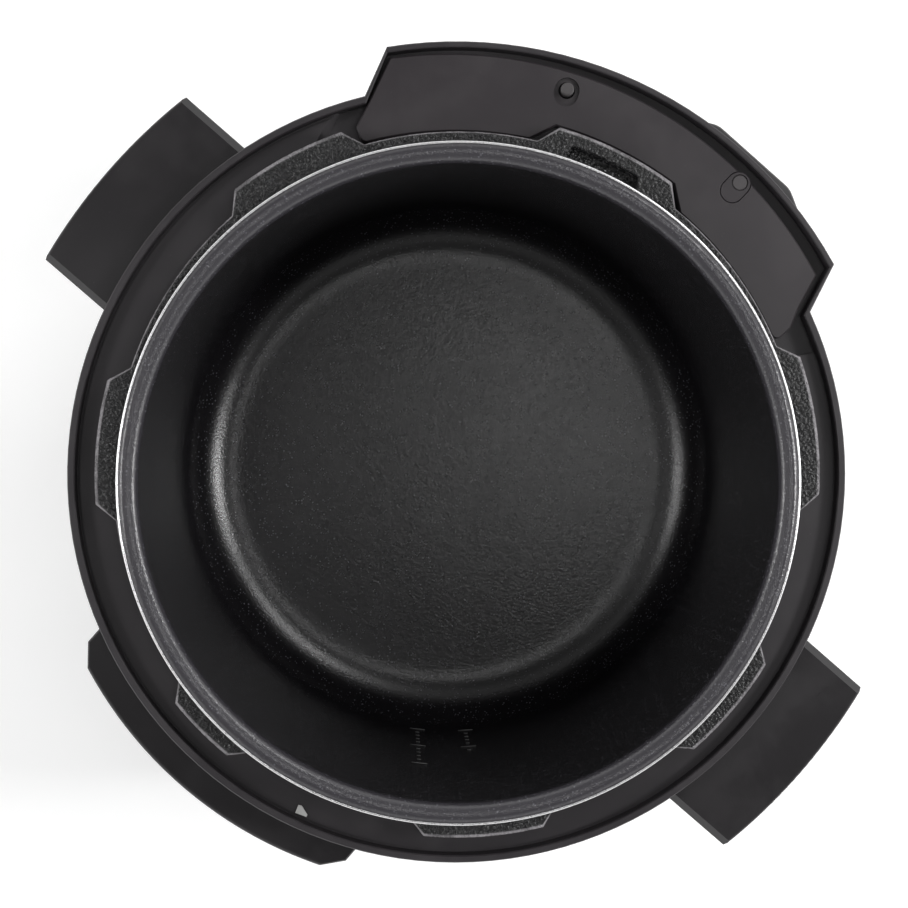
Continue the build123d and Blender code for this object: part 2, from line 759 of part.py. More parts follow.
def make_cup_bracket():
    back_y = cup_back_y - cup_gap
    plan = outline([(cup_x - 22, 128), (cup_x + 22, 128), (cup_x + 22, back_y), (cup_x - 22, back_y)])
    body = prism(plan, cup_z[0], cup_z[1]) - disc(shell_r, 100, 200)
    body += block((cup_x - tongue_half, cup_x + tongue_half), (134, tongue_end_y), tongue_z)
    return body - group(bracket_screws(cross=False))


def bracket_screws(cross=True):
    one = Rot(-90, 0, 0) * screw(3.2, 2.0, 1.6, 5.5, cross)
    return [Pos(cup_x + x, 129.2, 158) * one for x in (-14, 14)]


def group(solids):
    return Compound(children=[solid.solid() for solid in solids])


def save(name, shape):
    solids = shape if isinstance(shape, list) else [shape]
    shape = group(solids) if len(solids) > 1 else solids[0]
    shape.label = name
    export_step(shape, "parts/" + name + ".step")


def main():
    os.makedirs("parts", exist_ok=True)
    grip = make_grip()
    pieces = {
        "inner_pot": make_inner_pot(),
        "liner": make_liner(),
        "locking_flange": make_locking_flange(),
        "flange_screws": flange_screws(),
        "top_ring": make_top_ring(),
        "deck_plate": make_deck_plate(),
        "pin_guide": make_pin_guide(),
        "alignment_mark": make_alignment_mark(),
        "switch_box": make_switch_box(),
        "lid_closed_pin": make_lid_pin(closed_pin, closed_pin_r, deck_z - 0.05),
        "lid_open_pin": make_lid_pin(open_pin, open_pin_r, deck_z + open_pin_rise),
        "closed_pin_spring": make_pin_spring(closed_pin),
        "open_pin_spring": make_pin_spring(open_pin),
        "lid_switches": make_lid_switches(),
        "outer_shell": make_outer_shell(),
        "base_tray": make_base_tray(),
        "rubber_feet": make_rubber_feet(),
        "base_screws": base_screws(),
        "grip_right": grip,
        "grip_left": Rot(0, 0, 180) * grip,
        "grip_screws": grip_screws(),
        "panel_housing": make_panel_housing(),
        "panel_fascia": make_fascia(),
        "display_window": make_display_window(),
        "display_module": make_display_module(),
        "control_board": make_control_board(),
        "button_switches": make_button_switches(),
        "ribbon_cable": make_ribbon_cable(),
        "heating_plate": make_heating_plate(),
        "heating_element": make_heating_element(),
        "sensor_cap": make_sensor_cap(),
        "sensor_holder": make_sensor_holder(),
        "sensor_spring": make_sensor_spring(),
        "spring_plate": make_spring_plate(),
        "pressure_switch": make_pressure_switch(),
        "thermal_fuse": make_thermal_fuse(),
        "power_board": make_power_board(),
        "board_parts": make_board_parts(),
        "power_inlet": make_power_inlet(),
        "inlet_pins": inlet_pins(),
        "inlet_screws": inlet_screws(),
        "mains_wires": make_mains_wires(),
        "condensate_cup": make_condensate_cup(),
        "cup_bracket": make_cup_bracket(),
        "bracket_screws": bracket_screws(),
    }
    for name, x, z in buttons:
        pieces["button_" + name] = make_button(x, z)
    for name, shape in pieces.items():
        save(name, shape)
    print(len(pieces), "nodes written")


main()
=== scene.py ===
import json
import math
import bpy
from mathutils import Matrix, Vector, noise
from mathutils.bvhtree import BVHTree


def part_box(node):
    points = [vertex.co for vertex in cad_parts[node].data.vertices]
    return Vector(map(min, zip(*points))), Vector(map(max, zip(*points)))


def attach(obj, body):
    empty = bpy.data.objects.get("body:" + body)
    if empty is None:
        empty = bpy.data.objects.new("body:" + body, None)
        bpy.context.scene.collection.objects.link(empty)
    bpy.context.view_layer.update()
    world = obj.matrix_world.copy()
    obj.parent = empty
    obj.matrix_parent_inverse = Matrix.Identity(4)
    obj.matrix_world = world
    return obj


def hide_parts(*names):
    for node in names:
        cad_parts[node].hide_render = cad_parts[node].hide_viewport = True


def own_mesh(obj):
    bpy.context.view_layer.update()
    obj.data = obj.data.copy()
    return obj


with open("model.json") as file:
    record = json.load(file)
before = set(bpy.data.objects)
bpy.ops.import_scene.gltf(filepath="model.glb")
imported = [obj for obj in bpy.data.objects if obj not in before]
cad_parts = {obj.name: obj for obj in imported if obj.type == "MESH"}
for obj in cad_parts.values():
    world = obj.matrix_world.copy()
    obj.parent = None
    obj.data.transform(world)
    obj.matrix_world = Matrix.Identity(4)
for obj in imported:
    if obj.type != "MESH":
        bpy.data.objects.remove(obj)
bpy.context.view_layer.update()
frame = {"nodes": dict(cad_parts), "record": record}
nodes = frame["nodes"]

# where the main pieces are, from the frame
potLow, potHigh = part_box("inner_pot")
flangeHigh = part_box("locking_flange")[1]
potAxis = Vector(((potLow.x + potHigh.x) / 2, (potLow.y + potHigh.y) / 2, 0))


# small helpers
def polar(r, degrees, z=0.0):
    a = math.radians(degrees)
    return Vector((r * math.cos(a), r * math.sin(a), z))


def newPiece(name, verts, faces, mat, smooth=True):
    mesh = bpy.data.meshes.new(name)
    mesh.from_pydata([tuple(v) for v in verts], [], faces)
    mesh.validate()
    obj = bpy.data.objects.new(name, mesh)
    bpy.context.scene.collection.objects.link(obj)
    mesh.materials.append(mat)
    mesh.polygons.foreach_set("use_smooth", [smooth] * len(mesh.polygons))
    return obj


def bakeModifiers(obj):
    # turn the evaluated result into a plain mesh and drop the modifiers
    graph = bpy.context.evaluated_depsgraph_get()
    made = bpy.data.meshes.new_from_object(obj.evaluated_get(graph))
    obj.modifiers.clear()
    obj.data = made
    return obj


# node helpers
socketKinds = {kind.lower(): "NodeSocket" + kind
               for kind in ("Float", "Int", "Vector", "Material", "Geometry")}


class Shade:
    # a material, a node group or a geometry tree being wired
    def __init__(self, tree):
        self.tree = tree

    def link(self, source, target):
        self.tree.links.new(source, target)

    def add(self, kind, inputs=None, **settings):
        node = self.tree.nodes.new(kind)
        for key, value in settings.items():
            setattr(node, key, value)
        for key, value in (inputs or {}).items():
            if hasattr(value, "links"):
                self.link(value, node.inputs[key])
            else:
                node.inputs[key].default_value = value
        return node

    def math(self, operation, a, b=0.0):
        return self.add("ShaderNodeMath", {0: a, 1: b}, operation=operation).outputs[0]

    def ramp(self, value, low, high, outLow=0.0, outHigh=1.0):
        spots = {"Value": value, "From Min": low, "From Max": high, "To Min": outLow, "To Max": outHigh}
        return self.add("ShaderNodeMapRange", spots, interpolation_type="SMOOTHSTEP").outputs["Result"]

    def mixColor(self, mask, a, b):
        return self.add("ShaderNodeMix", {0: mask, 6: a, 7: b}, data_type="RGBA").outputs[2]


def newGroup(name, inputs, outputs):
    tree = bpy.data.node_groups.new(name, "ShaderNodeTree")
    for label, kind, value in inputs:
        socket = tree.interface.new_socket(label, in_out="INPUT", socket_type=socketKinds[kind])
        socket.default_value = value
    for label, kind in outputs:
        tree.interface.new_socket(label, in_out="OUTPUT", socket_type=socketKinds[kind])
    into = tree.nodes.new("NodeGroupInput")
    out = tree.nodes.new("NodeGroupOutput")
    return Shade(tree), into.outputs, out.inputs


def moldGrainGroup():
    # spark-eroded mould texture with soft blotches from handling
    s, given, out = newGroup("moldGrain",
                             [("Vector", "vector", (0, 0, 0)), ("Grain Scale", "float", 2200.0),
                              ("Blotch Scale", "float", 30.0)],
                             [("Height", "float"), ("Tone", "float"), ("Haze", "float")])
    fine = s.add("ShaderNodeTexNoise", {"Vector": given["Vector"], "Scale": given["Grain Scale"],
                                        "Detail": 3.0, "Roughness": 0.6})
    blotch = s.add("ShaderNodeTexNoise", {"Vector": given["Vector"], "Scale": given["Blotch Scale"],
                                          "Detail": 5.0, "Roughness": 0.62})
    s.link(fine.outputs[0], out["Height"])
    s.link(s.ramp(fine.outputs[0], 0.3, 0.7), out["Tone"])
    s.link(s.ramp(blotch.outputs[0], 0.35, 0.7), out["Haze"])
    return s.tree


flecking = {"size": 0.42, "gritScale": 1300.0}


def speckleGroup():
    # sharp flecks in a sprayed lining
    s, given, out = newGroup("sprayFlecks",
                             [("Vector", "vector", (0, 0, 0)), ("Scale", "float", 1500.0),
                              ("Amount", "float", 0.12)],
                             [("Fleck", "float"), ("Height", "float")])
    cells = s.add("ShaderNodeTexVoronoi", {"Vector": given["Vector"], "Scale": given["Scale"],
                                           "Randomness": 1.0})
    pick = s.add("ShaderNodeSeparateColor", {"Color": cells.outputs["Color"]})
    size = s.math("MULTIPLY", pick.outputs["Green"], flecking["size"])
    inside = s.math("LESS_THAN", cells.outputs["Distance"], size)
    chosen = s.math("LESS_THAN", pick.outputs["Red"], given["Amount"])
    grit = s.add("ShaderNodeTexNoise", {"Vector": given["Vector"], "Scale": flecking["gritScale"],
                                        "Detail": 2.0})
    s.link(s.math("MULTIPLY", inside, chosen), out["Fleck"])
    s.link(grit.outputs[0], out["Height"])
    return s.tree


scuffing = {"lineZone": (0.62, 0.74), "patchZone": (0.45, 0.7), "patchScale": 24.0,
            "dustScale": 420.0, "dustSize": 0.12, "dustPick": 0.93}


def scuffGroup():
    # fine hairline scuffs and settled dust
    s, given, out = newGroup("scuffs",
                             [("Vector", "vector", (0, 0, 0)), ("Scale", "float", 60.0),
                              ("Stretch", "float", 14.0)],
                             [("Scuff", "float"), ("Dust", "float")])
    parts = s.add("ShaderNodeSeparateXYZ", {"Vector": given["Vector"]})
    turned = s.add("ShaderNodeCombineXYZ", {"X": s.math("MULTIPLY", parts.outputs[0], given["Stretch"]),
                                            "Y": parts.outputs[1], "Z": parts.outputs[2]})
    lines = s.add("ShaderNodeTexNoise", {"Vector": turned.outputs[0], "Scale": given["Scale"], "Detail": 6.0,
                                         "Roughness": 0.72, "Distortion": 1.2})
    cloud = s.add("ShaderNodeTexNoise", {"Vector": given["Vector"], "Scale": scuffing["patchScale"],
                                         "Detail": 4.0})
    mask = s.math("MULTIPLY", s.ramp(lines.outputs[0], *scuffing["lineZone"]),
                  s.ramp(cloud.outputs[0], *scuffing["patchZone"]))
    s.link(mask, out["Scuff"])
    specks = s.add("ShaderNodeTexVoronoi", {"Vector": given["Vector"], "Scale": scuffing["dustScale"]})
    tint = s.add("ShaderNodeSeparateColor", {"Color": specks.outputs["Color"]})
    near = s.math("LESS_THAN", specks.outputs["Distance"], scuffing["dustSize"])
    few = s.math("GREATER_THAN", tint.outputs["Red"], scuffing["dustPick"])
    s.link(s.math("MULTIPLY", near, few), out["Dust"])
    return s.tree


groups = {"grain": moldGrainGroup(), "flecks": speckleGroup(), "scuffs": scuffGroup()}


def newMaterial(name):
    mat = bpy.data.materials.new(name)
    mat.use_nodes = True
    mat.node_tree.nodes.clear()
    s = Shade(mat.node_tree)
    shader = s.add("ShaderNodeBsdfPrincipled")
    out = s.add("ShaderNodeOutputMaterial")
    s.link(shader.outputs[0], out.inputs[0])
    where = s.add("ShaderNodeTexCoord").outputs["Object"]
    return mat, s, shader, where


def bumpTo(s, shader, height, strength, distance):
    bump = s.add("ShaderNodeBump", {"Height": height, "Strength": strength, "Distance": distance})
    s.link(bump.outputs[0], shader.inputs["Normal"])


plastic = {"dust": 0.02, "dustTone": (0.5, 0.48, 0.45, 1), "roughSpread": (0.9, 1.12), "scuffShine": 0.10,
           "grainRough": 0.05, "coatRough": 0.12, "bump": 0.6}


def plasticMaterial(name, dark, light, rough, grainScale=2200.0, grainDepth=0.00003, coat=0.0):
    # moulded plastic: fine grain, soft blotches, polished scuffs and a little dust
    mat, s, shader, where = newMaterial(name)
    grain = s.add("ShaderNodeGroup", {}, node_tree=groups["grain"])
    scuffs = s.add("ShaderNodeGroup", {}, node_tree=groups["scuffs"])
    for group in (grain, scuffs):
        s.link(where, group.inputs["Vector"])
    grain.inputs["Grain Scale"].default_value = grainScale
    tone = s.mixColor(grain.outputs["Haze"], (*dark, 1), (*light, 1))
    dusty = s.math("MULTIPLY", scuffs.outputs["Dust"], plastic["dust"])
    spotted = s.mixColor(dusty, tone, plastic["dustTone"])
    s.link(spotted, shader.inputs["Base Color"])
    base = s.ramp(grain.outputs["Haze"], 0.0, 1.0, *(rough * part for part in plastic["roughSpread"]))
    worn = s.math("SUBTRACT", base, s.math("MULTIPLY", scuffs.outputs["Scuff"], plastic["scuffShine"]))
    varied = s.math("ADD", worn, s.math("MULTIPLY", grain.outputs["Tone"], plastic["grainRough"]))
    s.link(varied, shader.inputs["Roughness"])
    shader.inputs["Coat Weight"].default_value = coat
    shader.inputs["Coat Roughness"].default_value = plastic["coatRough"]
    bumpTo(s, shader, grain.outputs["Height"], plastic["bump"], grainDepth)
    return mat


lining = {"fleckScale": 1150.0, "fleckAmount": 0.34, "fleckMix": 0.42, "fleckTone": (0.16, 0.16, 0.18, 1),
          "blotchScale": 16.0, "rimZone": (0.006, 0.0005), "rimTone": (0.036, 0.034, 0.039, 1),
          "roughSpread": (0.94, 1.06), "gritRough": 0.08, "specular": 0.6, "pebble": 0.00013}


def liningMaterial(name, dark, light, rough):
    # dark sprayed non-stick lining: pale flecks, a pebbled skin, and a painted lighter band over the rim that
    # stands in for the light it catches
    mat, s, shader, where = newMaterial(name)
    flecks = s.add("ShaderNodeGroup", {}, node_tree=groups["flecks"])
    grain = s.add("ShaderNodeGroup", {}, node_tree=groups["grain"])
    for group in (flecks, grain):
        s.link(where, group.inputs["Vector"])
    flecks.inputs["Scale"].default_value = lining["fleckScale"]
    flecks.inputs["Amount"].default_value = lining["fleckAmount"]
    grain.inputs["Blotch Scale"].default_value = lining["blotchScale"]
    height = s.add("ShaderNodeSeparateXYZ", {"Vector": where}).outputs[2]
    # painted light: the lining is coloured lighter towards the top of the rim
    paintedRimLight = s.ramp(height, *(potHigh.z - under for under in lining["rimZone"]))
    tone = s.mixColor(grain.outputs["Haze"], (*dark, 1), (*light, 1))
    tone = s.mixColor(paintedRimLight, tone, lining["rimTone"])
    shown = s.math("MULTIPLY", flecks.outputs["Fleck"], lining["fleckMix"])
    tone = s.mixColor(shown, tone, lining["fleckTone"])
    s.link(tone, shader.inputs["Base Color"])
    patchy = s.ramp(grain.outputs["Haze"], 0.0, 1.0, *(rough * part for part in lining["roughSpread"]))
    fine = s.math("ADD", patchy, s.math("MULTIPLY", flecks.outputs["Height"], lining["gritRough"]))
    s.link(fine, shader.inputs["Roughness"])
    shader.inputs["Specular IOR Level"].default_value = lining["specular"]
    bumpTo(s, shader, flecks.outputs["Height"], 1.0, lining["pebble"])
    return mat


hammer = {"cellScale": 870.0, "wrinkleScale": 1500.0, "crestScale": 1900.0, "patchScale": 160.0,
          "swing": (-0.4, 0.4), "hollow": (0.0015, 0.0015, 0.0018, 1), "skin": (0.006, 0.0056, 0.0064, 1),
          "crest": (0.05, 0.047, 0.052, 1), "bare": (0.20, 0.19, 0.20, 1), "rough": (0.30, 0.15),
          "smooth": 0.4, "wrinkle": 0.7, "twist": 0.6, "crestZone": (0.60, 0.70), "crestShare": 0.5,
          "bareZone": (0.30, 0.62, 0.35, 1.0), "specular": 0.42, "coat": 0.06, "coatRough": 0.12,
          "depth": 0.00045}


def hammeredMaterial(name):
    # baked-on black with a coarse wrinkled skin that glints; painted shade darkens its hollows, painted
    # glints lighten random specks, and a painted highlight lightens the marked outer edge
    mat, s, shader, where = newMaterial(name)
    cells = s.add("ShaderNodeTexVoronoi", {"Vector": where, "Scale": hammer["cellScale"]},
                  feature="SMOOTH_F1")
    cells.inputs["Smoothness"].default_value = hammer["smooth"]
    wrinkle = s.add("ShaderNodeTexNoise", {"Vector": where, "Scale": hammer["wrinkleScale"], "Detail": 3.0,
                                           "Distortion": hammer["twist"]})
    height = s.math("ADD", s.math("MULTIPLY", cells.outputs["Distance"], -1.0),
                    s.math("MULTIPLY", wrinkle.outputs[0], hammer["wrinkle"]))
    crest = s.add("ShaderNodeTexNoise", {"Vector": where, "Scale": hammer["crestScale"], "Detail": 1.0})
    patchy = s.add("ShaderNodeTexNoise", {"Vector": where, "Scale": hammer["patchScale"], "Detail": 4.0})
    # painted highlight: the marked outer-edge rows are coloured pale in patches
    litEdge = s.add("ShaderNodeAttribute", attribute_name="wear").outputs["Fac"]
    bare = s.math("MULTIPLY", litEdge, s.ramp(patchy.outputs[0], *hammer["bareZone"]))
    # painted shade: the hollows of the pebbling are coloured darker than its tops
    tone = s.mixColor(s.ramp(height, *hammer["swing"]), hammer["hollow"], hammer["skin"])
    # painted glints: random specks coloured lighter
    glintMask = s.math("MULTIPLY", s.ramp(crest.outputs[0], *hammer["crestZone"]), hammer["crestShare"])
    tone = s.mixColor(glintMask, tone, hammer["crest"])
    s.link(s.mixColor(bare, tone, hammer["bare"]), shader.inputs["Base Color"])
    s.link(s.ramp(height, *hammer["swing"], *hammer["rough"]), shader.inputs["Roughness"])
    shader.inputs["Specular IOR Level"].default_value = hammer["specular"]
    shader.inputs["Coat Weight"].default_value = hammer["coat"]
    shader.inputs["Coat Roughness"].default_value = hammer["coatRough"]
    bumpTo(s, shader, height, 1.0, hammer["depth"])
    return mat


metal = {"tint": 0.12, "streakScale": 900.0, "cloudScale": 22.0, "cloudShare": 0.25,
         "toneZone": (0.35, 0.65), "roughZone": (0.3, 0.7), "roughSpread": (0.8, 1.2), "bump": 0.25}


def metalMaterial(name, color, rough, streak="none", depth=0.00002):
    # plain metal with fine turned or brushed lines and handling marks
    mat, s, shader, where = newMaterial(name)
    parts = s.add("ShaderNodeSeparateXYZ", {"Vector": where})
    if streak == "around":
        line = s.add("ShaderNodeCombineXYZ", {"Z": parts.outputs[2]}).outputs[0]
    elif streak == "turned":
        flat = s.add("ShaderNodeCombineXYZ", {"X": parts.outputs[0], "Y": parts.outputs[1]})
        line = s.add("ShaderNodeVectorMath", {0: flat.outputs[0]}, operation="LENGTH").outputs["Value"]
        line = s.add("ShaderNodeCombineXYZ", {"X": line}).outputs[0]
    else:
        line = where
    brushed = s.add("ShaderNodeTexNoise", {"Vector": line, "Scale": metal["streakScale"], "Detail": 5.0,
                                           "Roughness": 0.7})
    cloud = s.add("ShaderNodeTexNoise", {"Vector": where, "Scale": metal["cloudScale"], "Detail": 5.0})
    mixed = s.math("ADD", s.math("MULTIPLY", brushed.outputs[0], 1 - metal["cloudShare"]),
                   s.math("MULTIPLY", cloud.outputs[0], metal["cloudShare"]))
    dull = tuple(c * (1 - metal["tint"]) for c in color)
    tone = s.mixColor(s.ramp(mixed, *metal["toneZone"]), (*dull, 1), (*color, 1))
    s.link(tone, shader.inputs["Base Color"])
    spread = (rough * part for part in metal["roughSpread"])
    s.link(s.ramp(mixed, *metal["roughZone"], *spread), shader.inputs["Roughness"])
    shader.inputs["Metallic"].default_value = 1.0
    bumpTo(s, shader, mixed, metal["bump"], depth)
    return mat


def glowMaterial(name, color, strength):
    # lit segments seen through smoked plastic, a little uneven
    mat, s, shader, where = newMaterial(name)
    uneven = s.add("ShaderNodeTexNoise", {"Vector": where, "Scale": 260.0, "Detail": 3.0}).outputs[0]
    shader.inputs["Base Color"].default_value = (0.02, 0.03, 0.03, 1)
    shader.inputs["Emission Color"].default_value = (*color, 1)
    s.link(s.ramp(uneven, 0.3, 0.7, strength * 0.8, strength), shader.inputs["Emission Strength"])
    s.link(s.ramp(uneven, 0.3, 0.7, 0.16, 0.24), shader.inputs["Roughness"])
    bumpTo(s, shader, uneven, 0.2, 0.00001)
    return mat


materials = {
    "pot_lining": liningMaterial("potLining", (0.0052, 0.0047, 0.0056), (0.0080, 0.0073, 0.0087), 0.205),
    "hammered_enamel": hammeredMaterial("hammeredBlack"),
    "aluminium": metalMaterial("turnedAluminium", (0.80, 0.80, 0.81), 0.34, "turned"),
    "brushed_steel": metalMaterial("brushedSteel", (0.62, 0.61, 0.60), 0.30, "around"),
    "steel": metalMaterial("zincSteel", (0.60, 0.60, 0.60), 0.34),
    "brass": metalMaterial("contactBrass", (0.72, 0.56, 0.30), 0.30),
    "black_plastic": plasticMaterial("ringPlastic", (0.019, 0.0165, 0.0190), (0.025, 0.0218, 0.0245), 0.44),
    "deck_plastic": plasticMaterial("deckPlastic", (0.0235, 0.0200, 0.0226), (0.0290, 0.0250, 0.0275), 0.36),
    "pin_plastic": plasticMaterial("pinPlastic", (0.045, 0.041, 0.043), (0.055, 0.051, 0.052), 0.4),
    "grip_plastic": plasticMaterial("gripPlastic", (0.0082, 0.0070, 0.0082), (0.0118, 0.0102, 0.0117), 0.34),
    "cup_plastic": plasticMaterial("cupPlastic", (0.032, 0.030, 0.032), (0.042, 0.040, 0.042), 0.38),
    "gloss_black": plasticMaterial("fasciaGloss", (0.008, 0.008, 0.009), (0.011, 0.011, 0.012), 0.12, 700.0,
                                   0.000004, coat=0.5),
    "smoked_window": plasticMaterial("smokedWindow", (0.004, 0.005, 0.006), (0.006, 0.007, 0.009), 0.06,
                                     400.0, 0.000002, coat=1.0),
    "button_plastic": plasticMaterial("buttonPlastic", (0.08, 0.08, 0.085), (0.10, 0.10, 0.105), 0.36),
    "rubber": plasticMaterial("footRubber", (0.018, 0.018, 0.018), (0.030, 0.030, 0.030), 0.75,
                              1200.0, 0.00008),
    "board_green": plasticMaterial("solderMask", (0.010, 0.09, 0.035), (0.018, 0.13, 0.05), 0.30, 500.0),
    "cable_grey": plasticMaterial("cableGrey", (0.20, 0.20, 0.21), (0.28, 0.28, 0.29), 0.5),
    "digit_glow": glowMaterial("digitGlow", (0.55, 0.85, 0.95), 0.9),
    "panel_print": plasticMaterial("panelPrint", (0.42, 0.42, 0.42), (0.50, 0.50, 0.50), 0.5),
    "bare_rim": metalMaterial("bareRim", (0.93, 0.92, 0.93), 0.30, depth=0.000004),
    "scale_print": plasticMaterial("scalePrint", (0.10, 0.10, 0.10), (0.14, 0.14, 0.14), 0.4),
    "light_mark": plasticMaterial("markPaint", (0.42, 0.42, 0.41), (0.50, 0.50, 0.49), 0.5),
}
print("materials made:", len(materials))

slotOf = {part["node"]: part["material_slot"] for part in frame["record"]["subparts"]}
for name, obj in nodes.items():
    obj.data.materials.clear()
    obj.data.materials.append(materials[slotOf[name]])


# geometry node helpers
def newTree(name, inputs):
    tree = bpy.data.node_groups.new(name, "GeometryNodeTree")
    tree.interface.new_socket("Geometry", in_out="INPUT", socket_type=socketKinds["geometry"])
    for label, kind, value in inputs:
        socket = tree.interface.new_socket(label, in_out="INPUT", socket_type=socketKinds[kind])
        if value is not None:
            socket.default_value = value
    tree.interface.new_socket("Geometry", in_out="OUTPUT", socket_type=socketKinds["geometry"])
    given = tree.nodes.new("NodeGroupInput").outputs
    out = tree.nodes.new("NodeGroupOutput").inputs
    return Shade(tree), given, out


def endTree(s, given, out, geometry):
    real = s.add("GeometryNodeRealizeInstances", {"Geometry": geometry})
    painted = s.add("GeometryNodeSetMaterial", {"Geometry": real.outputs[0], "Material": given["Material"]})
    s.link(painted.outputs[0], out["Geometry"])
    return s.tree


def runTree(obj, tree, values):
    # set the tree's named inputs on a modifier, then keep only the plain mesh
    modifier = obj.modifiers.new(tree.name, "NODES")
    modifier.node_group = tree
    for item in tree.interface.items_tree:
        if item.item_type == "SOCKET" and item.in_out == "INPUT" and item.name in values:
            modifier[item.identifier] = values[item.name]
    bakeModifiers(obj)
    obj.data.polygons.foreach_set("use_smooth", [True] * len(obj.data.polygons))
    return obj


def profilePiece(name, points):
    # an open line of edges in the XZ plane
    mesh = bpy.data.meshes.new(name)
    edges = [(i, i + 1) for i in range(len(points) - 1)]
    mesh.from_pydata([(r, 0.0, z) for r, z in points], edges, [])
    obj = bpy.data.objects.new(name, mesh)
    bpy.context.scene.collection.objects.link(obj)
    return obj


def cornerArc(corner, before, after, radius, steps=10):
    # points that round a corner of a profile
    c, a, b = (Vector(v) for v in (corner, before, after))
    u, v = (a - c).normalized(), (b - c).normalized()
    half = u.angle(v) / 2
    reach = radius / math.tan(half)
    middle = c + (u + v).normalized() * radius / math.sin(half)
    start, end = c + u * reach - middle, c + v * reach - middle
    turn = start.angle(end)
    points = []
    for i in range(steps + 1):
        t = i / steps
        arm = (start * math.sin(turn * (1 - t)) + end * math.sin(turn * t)) / math.sin(turn)
        points.append(tuple(middle + arm))
    return points


def roundedProfile(corners):
    # corners are (r, z, radius); a run of straight and rounded points
    points = []
    for i, (r, z, radius) in enumerate(corners):
        if radius and 0 < i < len(corners) - 1:
            points += cornerArc((r, z), corners[i - 1][:2], corners[i + 1][:2], radius)
        else:
            points.append((r, z))
    return points


# rows of a lathed sheet that meet on the axis are joined when closer than this
weldGap = 0.000002


def latheTree():
    # sweep a profile round a vertical axis
    s, given, out = newTree("latheRound",
                            [("Segments", "int", 360), ("Rows", "int", 90),
                             ("Axis", "vector", (0, 0, 0)), ("Material", "material", None)])
    line = s.add("GeometryNodeMeshToCurve", {"Mesh": given["Geometry"]})
    grid = s.add("GeometryNodeMeshGrid", {"Size X": 1.0, "Size Y": 1.0, "Vertices X": given["Segments"],
                                          "Vertices Y": given["Rows"]})
    spot = s.add("ShaderNodeSeparateXYZ", {"Vector": s.add("GeometryNodeInputPosition").outputs[0]})
    along = s.math("ADD", spot.outputs[1], 0.5)
    angle = s.math("MULTIPLY", spot.outputs[0], -2 * math.pi)
    read = s.add("GeometryNodeSampleCurve", {"Curves": line.outputs[0], "Factor": along}, mode="FACTOR")
    flat = s.add("ShaderNodeSeparateXYZ", {"Vector": read.outputs["Position"]})
    x = s.math("MULTIPLY", flat.outputs[0], s.math("COSINE", angle))
    y = s.math("MULTIPLY", flat.outputs[0], s.math("SINE", angle))
    place = s.add("ShaderNodeCombineXYZ", {"X": x, "Y": y, "Z": flat.outputs[2]})
    moved = s.add("ShaderNodeVectorMath", {0: place.outputs[0], 1: given["Axis"]}, operation="ADD")
    set_ = s.add("GeometryNodeSetPosition", {"Geometry": grid.outputs[0], "Position": moved.outputs[0]})
    merged = s.add("GeometryNodeMergeByDistance", {"Geometry": set_.outputs[0], "Distance": weldGap})
    return endTree(s, given, out, merged.outputs[0])


def surfaceOf(name):
    mesh = nodes[name].data
    points = [v.co.copy() for v in mesh.vertices]
    return BVHTree.FromPolygons(points, [tuple(f.vertices) for f in mesh.polygons])


lathe = latheTree()

# inner pot
pot = {"rimR": (potHigh.x - potLow.x) / 2, "mouthR": 0.1120, "footR": 0.1110, "flare": 0.0006,
       "wall": 0.0018, "floor": 0.0026, "corner": 0.0210, "mouthRound": 0.0026, "rimRound": 0.0005,
       "lipRound": 0.0004, "neckRound": 0.0012, "segments": 384, "rows": 190}
# the bare metal edge that wraps the rim
edging = {"band": 0.0008, "lift": 0.00004, "tuck": 0.0002, "topRound": 0.00055, "lowRound": 0.0004,
          "innerRound": 0.0001, "rows": 40}


def turnedPiece(name, corners, rows, mat):
    facts = {"Segments": pot["segments"] + 1, "Rows": rows, "Axis": tuple(potAxis), "Material": mat}
    made = runTree(profilePiece(name, roundedProfile(corners)), lathe, facts)
    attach(made, "pot")
    return made


def makePot():
    lift, band, tuck = edging["lift"], edging["band"], edging["tuck"]
    top, low = potHigh.z - lift, potLow.z
    rim, mouth, foot, wall = pot["rimR"], pot["mouthR"], pot["footR"], pot["wall"]
    inner = edging["innerRound"]
    made = turnedPiece("innerPot", [
        (0, low + pot["floor"], 0), (foot, low + pot["floor"], pot["corner"]),
        (mouth + pot["flare"], top, pot["mouthRound"]), (rim, top, pot["rimRound"]),
        (rim, top - wall, pot["lipRound"]), (mouth + wall, top - wall, pot["neckRound"]),
        (foot + wall, low, pot["corner"] + wall), (0, low, 0)], pot["rows"], materials["pot_lining"])
    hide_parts("inner_pot")
    ring = turnedPiece("potRimEdge", [
        (rim - band, top - tuck, 0), (rim - band, top + lift, inner),
        (rim + lift, top + lift, edging["topRound"]), (rim + lift, top - wall - lift, edging["lowRound"]),
        (rim - band, top - wall - lift, inner), (rim - band, top - wall + tuck, 0)],
        edging["rows"], materials["bare_rim"])
    print("pot made:", len(made.data.polygons), "faces")


makePot()


# graduated scale pressed into the pot's wall
scale = {"ladders": {-56.0: 11, -45.5: 7}, "fromZ": 0.094, "step": 0.0064, "long": 0.0062, "short": 0.0016,
         "height": 0.00045, "proud": 0.00012, "every": 5}


